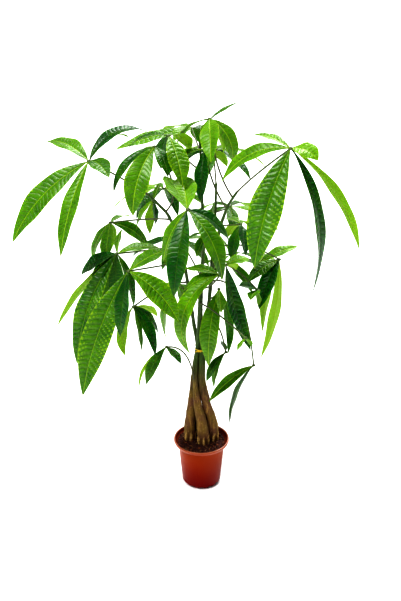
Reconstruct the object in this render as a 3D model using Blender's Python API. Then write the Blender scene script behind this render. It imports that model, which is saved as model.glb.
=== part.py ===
"""A potted money tree: five slim trunks gathered by a wire tie, standing in a thin plastic nursery pot.

Every compound leaf grew as one piece, so a leaf node holds its stalk, its hub and all its leaflets.
Lengths are in millimetres in the tables and in metres in the scene. The world origin is the middle
of the pot's flat underside, +Z is up and -Y is the front of the plant.
"""

import math
import random

import bmesh
import bpy
from mathutils import Vector

MM = 0.001
UP = Vector((0.0, 0.0, 1.0))
GAP = 0.4  # clear space between neighbouring pieces

# Pot: an injection-moulded nursery pot with a flared lip and drain notches round its lower edge.
POT_HEIGHT = 109.0
LIP_RADIUS = 60.8
LIP_HEIGHT = 8.0
NECK_RADIUS = 50.5
HEEL_RADIUS = 42.5
FOOT_RADIUS = 37.5
HEEL_HEIGHT = 7.0
WALL = 1.3
POT_SIDES = 40
NOTCHES = 12
NOTCH_WIDTH = 9.0
NOTCH_HEIGHT = 4.8
NOTCH_INNER_RADIUS = 33.0

# Soil: fills the pot up into its lip and is dug out round each trunk.
SOIL_TOP = 102.5
SOIL_BUMP = 1.5
SOIL_EDGE = 51.5
SOIL_RINGS = 4
SOIL_SIDES = 30

# Trunks: five round a circle, fat at the soil, drawn together and slightly twisted up to the tie.
TRUNK_NAMES = ("trunk_front", "trunk_right", "trunk_back_right", "trunk_back_left", "trunk_left")
TRUNK_SIDES = 10
TIE_HEIGHT = 334.0
FRONT_ANGLE = -90.0
TWIST = -53.0
# height, radius of the circle of trunks, radius of one trunk, sideways lean of the bundle
BUNDLE = (
    (62.0, 25.0, 9.0, 0.0),
    (84.0, 26.0, 12.2, 0.0),
    (104.0, 26.0, 12.7, 0.0),
    (132.0, 23.0, 12.5, -1.0),
    (165.0, 19.0, 10.6, -2.0),
    (205.0, 14.8, 8.62, -4.5),
    (250.0, 10.8, 5.7, -7.0),
    (292.0, 9.3, 4.9, -5.5),
    (334.0, 7.8, 4.1, -2.0),
)
# Where each trunk stands in the soil, x y. From JOIN_START up to JOIN_END it eases into the circle.
STANDS = {
    "trunk_front": (4.0, -9.0),
    "trunk_right": (25.3, 6.8),
    "trunk_back_right": (13.2, 30.6),
    "trunk_back_left": (-13.0, 30.6),
    "trunk_left": (-25.6, 8.0),
}
JOIN_START = 104.0
JOIN_END = 235.0

# Shoots above the tie: points of the centre line, and the radius at the far end.
SHOOT_END_RADIUS = 2.4
SHOOTS = {
    "trunk_front": ((-6, -12, 380), (-4, -20, 440), (0, -30, 520), (6, -42, 580), (16, -50, 628)),
    "trunk_right": (
        (8, -9, 380), (15, -10, 440), (22, -12, 510), (33, -18, 590), (44, -26, 634), (52, -30, 655),
        (66, -36, 680),
    ),
    "trunk_back_right": ((12, 8, 380), (16, 20, 440), (22, 46, 520), (28, 80, 590), (30, 118, 650)),
    "trunk_back_left": ((-1, 15, 380), (0, 21, 450), (3, 29, 560), (0, 40, 680), (-3, 54, 752)),
    "trunk_left": (
        (-15, 5, 380), (-23, 4, 440), (-31, 2, 500), (-41, 0, 556), (-62, -2, 618), (-82, -6, 645),
        (-103, -10, 668),
    ),
}
# Where a trunk was topped when the shoot took over: trunk, height, heading and length of the stub.
STUBS = {"trunk_right": (352, -20, 13), "trunk_back_left": (372, 120, 12)}
STUB_RISE = 1.6  # rise of a stub for each unit outwards

# Tie: one turn of garden wire whose ends cross in front.
WIRE_RADIUS = 0.8
WIRE_SIDES = 6
WIRE_STEPS = 28
TIE_RADIUS = 13.3
TIE_SAG = 3.0
TIE_TAIL = 7.0
TIE_OVERLAP = 0.14  # how much of a second turn the wire makes before its ends cross

# Leaves: stalk and hub.
STALK_SIDES = 6
STALK_STEPS = 5
STALK_BASE_RADIUS = 2.3
STALK_RADIUS = 1.6
STALK_KNEE = 3.0
SIDE_REACH = 0.35  # a side stalk heads away from the bark for this part of its span before it bends
SIDE_ARCH = 0.12  # and rises by this part
TIP_BEND = 0.4  # a stalk at the end of a shoot is nearly straight
TIP_ARCH = 0.04
HUB_RADIUS = 3.8
# Side stalks that climb steeply before they bend over: reach and arch, in place of the two above.
STEEP_STALKS = {"leaf_low_left": (0.1, 0.7)}
# Leaflet: part of the length, half width as a part of the widest, blade thickness.
BLADE = (
    (0.00, 0.06, 1.5),
    (0.15, 0.40, 1.3),
    (0.36, 0.90, 1.1),
    (0.60, 0.98, 1.0),
    (0.84, 0.52, 0.8),
)
FOLD = 0.14  # how far each half of a blade rises from the midrib, as a part of the half width

# name: (trunk, height where the stalk leaves it or None for its tip, hub x y z, leaflets)
# leaflet: heading, first pitch, how far it droops, roll (degrees), length, width
LEAVES = {
    "leaf_far_left": ("trunk_left", None, (-210, -20, 735), (
        (-170, -25, 40, -40, 220, 50), (-120, -40, 35, 5, 190, 38), (135, 30, 50, -10, 140, 42),
        (40, 60, 95, 15, 160, 32), (65, 40, 70, 0, 155, 28), (-60, 20, 50, 15, 95, 36),
    )),
    "leaf_top_back": ("trunk_back_left", 735, (-20, 160, 755), (
        (-160, -4, 13, -20, 165, 36), (-120, 20, 60, -10, 75, 28), (35, 0, 60, 15, 100, 34),
        (75, -5, 60, -25, 110, 34), (125, 5, 50, 0, 130, 38),
    )),
    "leaf_top_left": ("trunk_back_left", 700, (-60, -30, 785), (
        (-70, -20, 50, -10, 110, 42), (105, -15, 60, -20, 130, 36), (65, 0, 60, -5, 105, 36),
        (160, 10, 60, 0, 90, 30),
    )),
    "leaf_top_left_front": ("trunk_left", 630, (-85, -50, 770), (
        (-125, -28, 62, -25, 138, 46), (-160, -8, 75, -20, 120, 20), (-60, -10, 60, 0, 70, 26),
        (110, -10, 50, 0, 90, 30),
    )),
    "leaf_top": ("trunk_right", 668, (15, 20, 805), (
        (30, 30, 15, 10, 66, 12), (-90, -5, 60, 25, 110, 40), (-25, -20, 80, 20, 100, 36),
        (100, -30, 50, -20, 80, 28), (160, -10, 60, 10, 90, 30), (65, -20, 60, 25, 110, 34),
    )),
    "leaf_top_front": ("trunk_right", 645, (5, 30, 745), (
        (-95, -35, 50, 40, 105, 34), (180, -5, 30, -20, 85, 22), (25, -15, 50, -25, 65, 30),
    )),
    "leaf_far_right": ("trunk_right", None, (150, -160, 795), (
        (135, 25, 40, -10, 90, 22), (165, 5, 70, -35, 145, 34), (-135, -50, 35, -20, 215, 58),
        (0, -55, 50, 40, 280, 36), (10, -35, 40, -25, 240, 32), (-35, 20, 70, 15, 55, 36),
    )),
    "leaf_right_back": ("trunk_back_right", 520, (120, 80, 490), (
        (20, 30, 30, 10, 95, 30), (70, 5, 50, 15, 130, 30), (120, 15, 50, 15, 105, 30),
    )),
    "leaf_right": ("trunk_right", 560, (160, 50, 510), (
        (-150, -5, 40, -10, 85, 34), (-120, -20, 50, 10, 118, 36), (165, -95, -25, 35, 240, 34),
        (120, -60, 30, -10, 200, 30), (130, -20, 50, 10, 90, 26),
    )),
    "leaf_front_right": ("trunk_front", 520, (45, -90, 555), (
        (-30, -80, -20, 25, 175, 38), (30, 20, 40, 5, 55, 30), (65, -10, 40, -15, 60, 24),
    )),
    "leaf_front_low": ("trunk_front", 480, (35, -80, 530), (
        (-155, -10, 120, -20, 205, 42), (150, 15, 35, -10, 80, 28), (165, -10, 40, -30, 85, 28),
    )),
    "leaf_middle_right": ("trunk_right", 610, (75, -30, 615), (
        (-80, -15, 50, -30, 70, 34), (-125, -45, 50, 15, 75, 30), (70, 0, 50, -10, 95, 34),
        (120, 10, 40, 0, 70, 26), (140, -20, 60, 15, 45, 30),
    )),
    "leaf_middle": ("trunk_back_left", 560, (15, 5, 585), (
        (-140, -35, 40, 5, 55, 28), (5, -25, 50, 0, 65, 26), (80, 50, 30, -55, 75, 24),
        (165, -5, 50, 25, 65, 26),
    )),
    "leaf_front": ("trunk_front", None, (-25, -140, 680), (
        (112, 32, 28, 12, 110, 50), (96, 34, 30, -14, 105, 46), (-165, -45, 40, -20, 105, 32),
        (-106, -38, 50, 15, 160, 42), (-40, -25, 60, 5, 145, 44), (10, -15, 50, 35, 100, 32),
    )),
    "leaf_left_upper": ("trunk_left", 615, (-180, 20, 600), (
        (70, 5, 30, -5, 90, 24), (25, -15, 50, 50, 105, 30), (180, -45, 40, -30, 95, 26),
        (-95, -25, 40, 30, 90, 32), (100, -40, 40, 0, 90, 28),
    )),
    "leaf_left_inner": ("trunk_left", 640, (-95, 38, 640), (
        (180, -40, 40, -25, 70, 22), (-75, -45, 40, -45, 50, 24), (105, -45, 50, -30, 90, 26),
        (75, 40, 30, -35, 55, 20),
    )),
    "leaf_left": ("trunk_left", 560, (-160, -70, 570), (
        (90, 25, 30, -50, 90, 24), (165, -15, 40, -30, 95, 32), (-155, -50, 35, -30, 240, 48),
        (-35, -50, 40, -5, 110, 28), (30, 15, 40, 10, 95, 30), (165, -42, 20, 20, 215, 26),
        (110, -68, 12, 10, 185, 40), (150, -60, 25, 25, 150, 38), (-175, -38, 45, -25, 100, 34),
    )),
    "leaf_left_front": ("trunk_left", 525, (-135, -120, 555), (
        (35, 30, 30, 15, 90, 34), (-20, -20, 45, 25, 135, 50), (-155, -55, 25, -50, 265, 56),
        (-105, -45, 45, 30, 125, 36),
    )),
    "leaf_left_lower": ("trunk_left", 480, (-135, -40, 445), (
        (-35, -35, 50, 15, 110, 27), (15, -30, 50, 35, 85, 23), (50, -15, 40, -35, 85, 23),
        (-70, -30, 50, -45, 95, 22), (-180, -55, 50, 40, 115, 30),
    )),
    "leaf_low_inner": ("trunk_left", 455, (-50, 30, 465), (
        (180, -55, 50, -30, 135, 28), (-40, -10, 40, -5, 35, 26), (70, -45, 50, 25, 90, 28),
        (130, -10, 50, 15, 50, 28),
    )),
    "leaf_low_left": ("trunk_front", 262, (-70, -60, 365), (
        (-155, -40, 40, -25, 90, 26), (-55, 5, 40, -5, 55, 22), (160, -35, 50, 20, 130, 13),
    )),
    "leaf_low_middle": ("trunk_right", 450, (35, -10, 470), (
        (-120, -55, 40, 0, 165, 44), (30, -65, 35, -10, 155, 26), (-85, -25, 50, -45, 50, 30),
    )),
    "leaf_low_right": ("trunk_right", 405, (50, -35, 340), (
        (-155, -35, 40, -10, 75, 22), (180, -55, 40, -25, 90, 22), (100, 15, 30, 35, 50, 16),
    )),
    "leaf_bud": ("trunk_front", 445, (80, -185, 450), (
        (-125, -15, 30, 30, 30, 16), (65, -35, 30, 15, 40, 16),
    )),
    "leaf_hanging": ("trunk_back_right", 470, (110, 0, 290), (
        (-170, -25, 30, -30, 125, 26), (180, -55, 35, -10, 160, 24),
    )),
    "leaf_right_inner": ("trunk_right", 530, (110, -50, 485), (
        (-140, 45, 40, -15, 55, 24), (-110, 25, 50, 15, 50, 26), (85, -40, 50, 60, 50, 22),
    )),
}

# Leaves on the far side follow one rule: leaflets spread evenly round the hub, the first the longest.
# name: (trunk, height or None, hub x y z, leaflet count, first heading, longest)
BACK_LEAVES = {
    "leaf_back_high": ("trunk_back_right", None, (25, 200, 700), 6, 80, 165),
    "leaf_back_middle": ("trunk_back_right", 600, (60, 150, 590), 5, 60, 140),
    "leaf_back_left": ("trunk_back_left", 600, (-80, 165, 625), 6, 115, 145),
    "leaf_back_low": ("trunk_back_left", 480, (-45, 165, 510), 5, 100, 150),
    "leaf_back_right": ("trunk_back_right", 540, (50, 125, 475), 5, 20, 120),
}
BACK_PITCH = 5
BACK_DROOP = 60
BACK_WIDTH_RATIO = 0.27
BACK_SHORTEST = 0.62

GREENS = ((0.10, 0.36, 0.015, 1.0), (0.06, 0.25, 0.01, 1.0), (0.16, 0.42, 0.02, 1.0))


def material(name, colour, roughness):
    """A plain Principled material, made once for each name."""
    found = bpy.data.materials.get(name)
    if found:
        return found
    made = bpy.data.materials.new(name)
    made.use_nodes = True
    shader = made.node_tree.nodes["Principled BSDF"]
    shader.inputs["Base Color"].default_value = colour
    shader.inputs["Roughness"].default_value = roughness
    shader.inputs["Metallic"].default_value = 0.0
    return made


def add_object(name, bm, look):
    """Turns a bmesh that is in metres into a named object with a material."""
    bmesh.ops.recalc_face_normals(bm, faces=bm.faces)
    mesh = bpy.data.meshes.new(name)
    bm.to_mesh(mesh)
    bm.free()
    obj = bpy.data.objects.new(name, mesh)
    bpy.context.scene.collection.objects.link(obj)
    mesh.materials.append(look)
    return obj


def fuse(target, others, operation="UNION"):
    """Joins or cuts closed bodies with one exact Boolean and keeps only the result."""
    for other in others:
        boolean = target.modifiers.new(operation.title(), "BOOLEAN")
        boolean.operation = operation
        boolean.solver = "EXACT"
        boolean.object = other
    bpy.context.view_layer.update()
    graph = bpy.context.evaluated_depsgraph_get()
    result = bpy.data.meshes.new_from_object(target.evaluated_get(graph))
    target.modifiers.clear()
    target.data = result
    for other in others:
        bpy.data.objects.remove(other)
    return target


def between(table, height, column):
    """Straight-line value of one column of a table whose first column rises."""
    for low, high in zip(table, table[1:]):
        if height <= high[0]:
            part = (height - low[0]) / (high[0] - low[0])
            return low[column] + (high[column] - low[column]) * part
    return table[-1][column]


def bridge(bm, rings):
    """Quads between rings of equal length, and flat caps on the two ends."""
    for low, high in zip(rings, rings[1:]):
        count = len(low)
        for i in range(count):
            j = (i + 1) % count
            bm.faces.new((low[i], low[j], high[j], high[i]))
    bm.faces.new(rings[0])
    bm.faces.new(rings[-1])


def tube(points, radii, sides):
    """A bmesh tube along a route, in metres."""
    bm = bmesh.new()
    rings = []
    across = Vector((1.0, 0.0, 0.0))
    for i, point in enumerate(points):
        before = points[max(i - 1, 0)]
        after = points[min(i + 1, len(points) - 1)]
        tangent = (after - before).normalized()
        across = (across - tangent * across.dot(tangent)).normalized()
        other = tangent.cross(across)
        ring = []
        for k in range(sides):
            angle = math.tau * k / sides
            offset = across * math.cos(angle) + other * math.sin(angle)
            ring.append(bm.verts.new((point + offset * radii[i]) * MM))
        rings.append(ring)
    bridge(bm, rings)
    return bm


def revolve(profile, sides):
    """A closed body of revolution from (radius, height) points; the ends lie on the axis."""
    bm = bmesh.new()
    rings = []
    for radius, height in profile:
        if radius == 0:
            rings.append([bm.verts.new((0.0, 0.0, height * MM))])
            continue
        ring = []
        for k in range(sides):
            angle = math.tau * k / sides
            place = Vector((math.cos(angle) * radius, math.sin(angle) * radius, height))
            ring.append(bm.verts.new(place * MM))
        rings.append(ring)
    for low, high in zip(rings, rings[1:]):
        for k in range(sides):
            j = (k + 1) % sides
            corners = [low[k % len(low)], low[j % len(low)], high[j % len(high)], high[k % len(high)]]
            bm.faces.new(list(dict.fromkeys(corners)))
    return bm


def make_pot():
    """The pot, with a flared lip, a chamfered foot and a ring of drain notches."""
    lip_bottom = POT_HEIGHT - LIP_HEIGHT
    neck_inner = NECK_RADIUS - WALL
    profile = (
        (0, 0), (FOOT_RADIUS, 0), (HEEL_RADIUS, HEEL_HEIGHT), (NECK_RADIUS, lip_bottom - 3),
        (LIP_RADIUS - 3.5, lip_bottom + 1), (LIP_RADIUS - 1.6, lip_bottom), (LIP_RADIUS, POT_HEIGHT - 2),
        (LIP_RADIUS - 1, POT_HEIGHT), (LIP_RADIUS - 3, POT_HEIGHT), (LIP_RADIUS - 4.5, POT_HEIGHT - 2),
        (LIP_RADIUS - 5.5, lip_bottom + 2.6), (neck_inner, lip_bottom - 2),
        (HEEL_RADIUS - WALL, HEEL_HEIGHT), (FOOT_RADIUS - WALL, WALL), (0, WALL),
    )
    plastic = material("terracotta_plastic", (0.46, 0.07, 0.01, 1), 0.38)
    pot = add_object("pot", revolve(profile, POT_SIDES), plastic)
    length = HEEL_RADIUS + 6 - NOTCH_INNER_RADIUS
    middle = NOTCH_INNER_RADIUS + length / 2
    cutters = []
    for i in range(NOTCHES):
        angle = math.tau * (i + 0.5) / NOTCHES
        bm = bmesh.new()
        bmesh.ops.create_cube(bm, size=1.0)
        outward = Vector((math.cos(angle), math.sin(angle), 0.0))
        sideways = UP.cross(outward)
        for vert in bm.verts:
            place = outward * (vert.co.x * length + middle) + sideways * (vert.co.y * NOTCH_WIDTH)
            vert.co = (place + UP * (vert.co.z * NOTCH_HEIGHT * 2)) * MM
        cutters.append(add_object(f"notch_{i}", bm, material("cutter", (1, 1, 1, 1), 0.5)))
    return fuse(pot, cutters, "DIFFERENCE")


def eased(part):
    """0 below 0, 1 above 1, and a smooth step between them."""
    part = min(1.0, max(0.0, part))
    return part * part * (3 - 2 * part)


def trunk_route(index):
    """Centre points and radii of one trunk, from inside the soil to the end of its shoot."""
    points = []
    radii = []
    for height, circle, radius, lean in BUNDLE:
        rise = max(0.0, (height - SOIL_TOP) / (TIE_HEIGHT - SOIL_TOP))
        angle = math.radians(FRONT_ANGLE + 72.0 * index + TWIST * rise)
        on_circle = Vector((lean + circle * math.cos(angle), circle * math.sin(angle), height))
        stand = Vector((*STANDS[TRUNK_NAMES[index]], height))
        points.append(stand.lerp(on_circle, eased((height - JOIN_START) / (JOIN_END - JOIN_START))))
        radii.append(radius)
    shoot = [Vector(p) for p in SHOOTS[TRUNK_NAMES[index]]]
    for i, point in enumerate(shoot):
        part = (i + 1) / len(shoot)
        points.append(point)
        radii.append(radii[len(BUNDLE) - 1] * (1 - part) + SHOOT_END_RADIUS * part)
    return points, radii


ROUTES = {name: trunk_route(i) for i, name in enumerate(TRUNK_NAMES)}


def on_trunk(trunk, height):
    """Centre, direction and radius of a trunk at a height, or at its tip for None."""
    points, radii = ROUTES[trunk]
    if height is None:
        return points[-1], (points[-1] - points[-2]).normalized(), radii[-1]
    for low, high, r_low, r_high in zip(points, points[1:], radii, radii[1:]):
        if height <= high.z:
            part = (height - low.z) / (high.z - low.z)
            return low.lerp(high, part), (high - low).normalized(), r_low + (r_high - r_low) * part
    return points[-1], (points[-1] - points[-2]).normalized(), radii[-1]


def make_trunks():
    """Five trunks, each with its shoot and any stub left by topping."""
    bark = material("bark", (0.11, 0.07, 0.03, 1), 0.8)
    for name in TRUNK_NAMES:
        points, radii = ROUTES[name]
        trunk = add_object(name, tube(points, radii, TRUNK_SIDES), bark)
        if name in STUBS:
            height, heading, length = STUBS[name]
            centre, _, radius = on_trunk(name, height)
            out = Vector((math.cos(math.radians(heading)), math.sin(math.radians(heading)), STUB_RISE))
            route = [centre, centre + out.normalized() * (radius + length)]
            stub = add_object("stub", tube(route, [radius * 0.8, radius * 0.8], 8), bark)
            fuse(trunk, [stub])


def make_soil():
    """A slightly uneven plug of potting mix with a socket round each trunk."""
    rng = random.Random(4)
    top_radius = NECK_RADIUS - WALL - GAP - 0.5
    heel = HEEL_RADIUS - WALL - GAP
    foot = FOOT_RADIUS - WALL - GAP
    bottom = WALL + GAP
    neck_height = POT_HEIGHT - LIP_HEIGHT - 2
    profile = [
        (0, bottom), (foot - 1, bottom), (heel - 0.4, HEEL_HEIGHT + 1.5), (top_radius, neck_height),
        (SOIL_EDGE, SOIL_TOP - 1),
    ]
    for i in range(SOIL_RINGS):
        part = 1 - (i + 1) / (SOIL_RINGS + 1)
        profile.append((SOIL_EDGE * part, SOIL_TOP))
    profile.append((0, SOIL_TOP))
    bm = revolve(profile, SOIL_SIDES)
    for vert in bm.verts:
        if vert.co.z > (SOIL_TOP - 0.5) * MM:
            vert.co.z += rng.uniform(-SOIL_BUMP, SOIL_BUMP) * MM
    soil = add_object("soil", bm, material("potting_mix", (0.035, 0.015, 0.012, 1), 0.95))
    cutters = []
    plain = material("cutter", (1, 1, 1, 1), 0.5)
    for name in TRUNK_NAMES:
        points, radii = ROUTES[name]
        below = points[0] - UP * GAP
        route = [below] + points[1:4]
        wide = [radii[0] + GAP] + [r + GAP for r in radii[1:4]]
        cutters.append(add_object("socket", tube(route, wide, TRUNK_SIDES), plain))
    return fuse(soil, cutters, "DIFFERENCE")


def make_tie():
    """One turn of wire round the bundle; its ends cross in front and stick out."""
    points = []
    lean = between(BUNDLE, TIE_HEIGHT, 3)
    start = math.radians(FRONT_ANGLE - 180 * TIE_OVERLAP)
    total = math.tau * (1 + TIE_OVERLAP)
    for i in range(WIRE_STEPS + 1):
        part = i / WIRE_STEPS
        angle = start + total * part
        front = max(0.0, -math.sin(angle))
        height = TIE_HEIGHT - TIE_SAG * front + (part - 0.5) * 4 * WIRE_RADIUS
        radius = TIE_RADIUS + 0.6 * abs(part - 0.5)
        points.append(Vector((lean + radius * math.cos(angle), radius * math.sin(angle), height)))
    first = (points[0] - points[1]).normalized() - UP * 0.5
    last = (points[-1] - points[-2]).normalized() + UP * 0.2
    points.insert(0, points[0] + first.normalized() * TIE_TAIL)
    points.append(points[-1] + last.normalized() * TIE_TAIL)
    brass = material("brass_wire", (0.72, 0.50, 0.05, 1), 0.4)
    return add_object("stem_tie", tube(points, [WIRE_RADIUS] * len(points), WIRE_SIDES), brass)


def stalk_route(name, trunk, height, hub):
    """From just off the bark, out square to the trunk, then an arch to the hub."""
    centre, along, radius = on_trunk(trunk, height)
    if height is None:
        out = along
        start = centre + along * GAP
        reach = (hub - start).length
        bend = start.lerp(hub, TIP_BEND) + UP * (TIP_ARCH * reach)
    else:
        out = hub - centre
        out = (out - along * out.dot(along)).normalized()
        start = centre + out * (radius + GAP)
        reach = (hub - start).length
        side, arch = STEEP_STALKS.get(name, (SIDE_REACH, SIDE_ARCH))
        bend = start + out * (side * reach) + UP * (arch * reach)
    knee = start + out * STALK_KNEE
    points = [start]
    for i in range(STALK_STEPS + 1):
        t = i / STALK_STEPS
        points.append(knee * (1 - t) ** 2 + bend * (2 * t * (1 - t)) + hub * t ** 2)
    radii = [STALK_BASE_RADIUS] * 2 + [STALK_RADIUS] * STALK_STEPS
    return points, radii


def blade(hub, heading, pitch, droop, roll, length, width):
    """One leaflet: a thin lens-shaped strip along an arching midrib, folded a little along it."""
    bm = bmesh.new()
    turn = math.radians(heading)
    lean = math.radians(roll)
    side = Vector((-math.sin(turn), math.cos(turn), 0.0))
    rings = []
    here = hub.copy()
    last = 0.0
    for part, wide, thick in BLADE + ((1.0, 0.0, 0.0),):
        middle = math.radians(pitch - droop * (last + part) / 2)
        level = math.cos(middle)
        step = Vector((level * math.cos(turn), level * math.sin(turn), math.sin(middle)))
        here = here + step * (length * (part - last))
        last = part
        if wide == 0:
            tip = bm.verts.new(here * MM)
            continue
        angle = math.radians(pitch - droop * part)
        along = Vector((math.cos(angle) * math.cos(turn), math.cos(angle) * math.sin(turn), math.sin(angle)))
        normal = along.cross(side)
        across = side * math.cos(lean) + normal * math.sin(lean)
        face = along.cross(across)
        half = max(wide * width / 2, 1.2)
        lift = face * (half * FOLD)
        ring = (
            here + across * half + lift, here + face * (thick / 2),
            here - across * half + lift, here - face * (thick / 2),
        )
        rings.append([bm.verts.new(place * MM) for place in ring])
    for low, high in zip(rings, rings[1:]):
        for i in range(4):
            j = (i + 1) % 4
            bm.faces.new((low[i], low[j], high[j], high[i]))
    bm.faces.new(rings[0])
    for i in range(4):
        bm.faces.new((rings[-1][i], rings[-1][(i + 1) % 4], tip))
    bmesh.ops.triangulate(bm, faces=bm.faces)
    return bm


def make_leaf(name, trunk, height, hub, leaflets, look):
    """A compound leaf: its stalk, the hub at its end and the leaflets that spread from it."""
    hub = Vector(hub)
    points, radii = stalk_route(name, trunk, height, hub)
    leaf = add_object(name, tube(points, radii, STALK_SIDES), look)
    bm = bmesh.new()
    bmesh.ops.create_icosphere(bm, subdivisions=1, radius=HUB_RADIUS * MM)
    bmesh.ops.translate(bm, verts=bm.verts, vec=hub * MM)
    pieces = [add_object("hub", bm, look)]
    for leaflet in leaflets:
        pieces.append(add_object("leaflet", blade(hub, *leaflet), look))
    return fuse(leaf, pieces)


def even_leaflets(count, first, longest):
    """Leaflets spread evenly round a hub, from the longest down to the shortest opposite it."""
    spread = []
    for i in range(count):
        heading = first + 360 * i / count
        away = (1 - math.cos(math.tau * i / count)) / 2
        length = longest * (1 - (1 - BACK_SHORTEST) * away)
        spread.append((heading, BACK_PITCH, BACK_DROOP, 0, length, length * BACK_WIDTH_RATIO))
    return spread


def make_leaves():
    """Every leaf, in one of three greens."""
    looks = [material(f"leaf_green_{i}", colour, 0.42) for i, colour in enumerate(GREENS)]
    for i, (name, (trunk, height, hub, leaflets)) in enumerate(LEAVES.items()):
        make_leaf(name, trunk, height, hub, leaflets, looks[i % len(looks)])
    for i, (name, (trunk, height, hub, *rule)) in enumerate(BACK_LEAVES.items()):
        make_leaf(name, trunk, height, hub, even_leaflets(*rule), looks[i % len(looks)])


def clear_scene():
    for obj in list(bpy.data.objects):
        bpy.data.objects.remove(obj)


clear_scene()
make_pot()
make_soil()
make_trunks()
make_tie()
make_leaves()
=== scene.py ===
# %% [markdown]
# # A potted money tree
# Five slim trunks stand in a thin nursery pot and are drawn together by a turn of garden wire.
# Above the wire they fan out into shoots, and each shoot carries compound leaves: a long stalk, a
# hub at its end, and a hand of drooping leaflets round the hub.
#
# The solid model is loaded first. It fixes every size, and its parts stay in the scene, hidden as
# each is rebuilt.

# %% Load the solid model
import math
import random

import bpy
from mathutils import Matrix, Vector


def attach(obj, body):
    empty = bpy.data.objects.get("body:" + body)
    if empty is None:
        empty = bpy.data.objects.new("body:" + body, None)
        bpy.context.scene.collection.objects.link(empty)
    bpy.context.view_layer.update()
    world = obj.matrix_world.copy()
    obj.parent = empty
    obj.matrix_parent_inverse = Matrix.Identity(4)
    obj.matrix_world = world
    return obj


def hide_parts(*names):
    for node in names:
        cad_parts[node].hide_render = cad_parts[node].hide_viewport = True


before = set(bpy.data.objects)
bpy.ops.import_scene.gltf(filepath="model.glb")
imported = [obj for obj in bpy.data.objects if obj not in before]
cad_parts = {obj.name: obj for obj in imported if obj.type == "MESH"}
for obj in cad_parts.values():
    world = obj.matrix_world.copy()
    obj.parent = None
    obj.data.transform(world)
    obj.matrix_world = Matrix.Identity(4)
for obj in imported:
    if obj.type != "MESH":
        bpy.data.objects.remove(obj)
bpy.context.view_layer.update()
MM = 0.001
UP = Vector((0.0, 0.0, 1.0))

# %% [markdown]
# ## Writing node trees as sums
# Both shaders and Geometry Nodes are wired from small steps: multiply this, add that. Wiring them
# by hand hides the formula. One class wraps a socket and overloads the operators, so a formula is
# written as a formula and each sign adds its own Math or Vector Math node. A second class adds any
# other node, settings first and then the values or links of its sockets.

# %% Sockets with arithmetic
class Value:
    """One output socket of a tree, which can be used in sums."""

    def __init__(self, net, socket):
        self.net = net
        self.socket = socket

    def is_vector(self):
        return self.socket.type == "VECTOR"

    def other(self, name):
        """Another output of the node that this value comes from."""
        return Value(self.net, self.socket.node.outputs[name])

    def axis(self, name):
        """The X, Y or Z of a vector."""
        return self.net.node("ShaderNodeSeparateXYZ", None, {0: self}).other(name)

    def _sum(self, operation, *values):
        vector = any(isinstance(v, Value) and v.is_vector() for v in values)
        kind = "ShaderNodeVectorMath" if vector else "ShaderNodeMath"
        return self.net.node(kind, {"operation": operation}, dict(enumerate(values)))

    def __add__(self, other):
        return self._sum("ADD", self, other)

    def __radd__(self, other):
        return self._sum("ADD", other, self)

    def __sub__(self, other):
        return self._sum("SUBTRACT", self, other)

    def __rsub__(self, other):
        return self._sum("SUBTRACT", other, self)

    def __mul__(self, other):
        other_vector = isinstance(other, tuple) or isinstance(other, Value) and other.is_vector()
        if self.is_vector() and not other_vector:
            values = {0: self, "Scale": other}
            return self.net.node("ShaderNodeVectorMath", {"operation": "SCALE"}, values)
        return self._sum("MULTIPLY", self, other)

    def __rmul__(self, other):
        return self * other

    def __truediv__(self, other):
        return self._sum("DIVIDE", self, other)

    def __rtruediv__(self, other):
        return self._sum("DIVIDE", other, self)

    def __pow__(self, other):
        return self._sum("POWER", self, other)

    def __abs__(self):
        return self._sum("ABSOLUTE", self)

    def sin(self):
        return self._sum("SINE", self)

    def cos(self):
        return self._sum("COSINE", self)

    def fraction(self):
        return self._sum("FRACT", self)

    def at_most(self, other):
        return self._sum("MINIMUM", self, other)

    def at_least(self, other):
        return self._sum("MAXIMUM", self, other)

    def above(self, other):
        return self._sum("GREATER_THAN", self, other)

    def cross(self, other):
        return self._sum("CROSS_PRODUCT", self, other)

    def ramp(self, low, high):
        """0 below low, 1 above high, and a smooth step between them."""
        return self.net.node(
            "ShaderNodeMapRange", {"interpolation_type": "SMOOTHSTEP"},
            {"Value": self, "From Min": low, "From Max": high},
        )


class Net:
    """A node tree that grows by calls."""

    def __init__(self, tree):
        self.tree = tree

    def node(self, kind, settings=None, values=None, out=0):
        made = self.tree.nodes.new(kind)
        for name, setting in (settings or {}).items():
            setattr(made, name, setting)
        for key, value in (values or {}).items():
            if isinstance(value, Value):
                self.tree.links.new(value.socket, made.inputs[key])
            elif isinstance(value, list):
                for item in value:
                    self.tree.links.new(item.socket, made.inputs[key])
            else:
                made.inputs[key].default_value = value
        return Value(self, made.outputs[out]) if len(made.outputs) else made

    def vector(self, x, y, z):
        return self.node("ShaderNodeCombineXYZ", None, {0: x, 1: y, 2: z})

    def mix(self, part, low, high):
        """A colour between two colours."""
        low, high = [(*c, 1.0) if isinstance(c, tuple) else c for c in (low, high)]
        values = {"Factor": part, 6: low, 7: high}
        return self.node("ShaderNodeMix", {"data_type": "RGBA"}, values, out=2)

    def noise(self, where, scale, detail=3.0, roughness=0.5):
        return self.node(
            "ShaderNodeTexNoise", None,
            {"Vector": where, "Scale": scale, "Detail": detail, "Roughness": roughness},
        )


print("helpers ready")

# %% [markdown]
# ## One way to start and end every tree
# A Geometry Nodes tree needs named inputs and one output. A modifier's inputs are set by the
# socket's identifier before the object is first evaluated. The evaluated result is then copied to
# a plain mesh, because the finished piece should hold its own shape and no live modifier.

# %% Geometry trees and plain meshes
SHARP_ANGLE = math.radians(50)
WELD = 0.00001  # metres: points closer than this are one point


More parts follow.
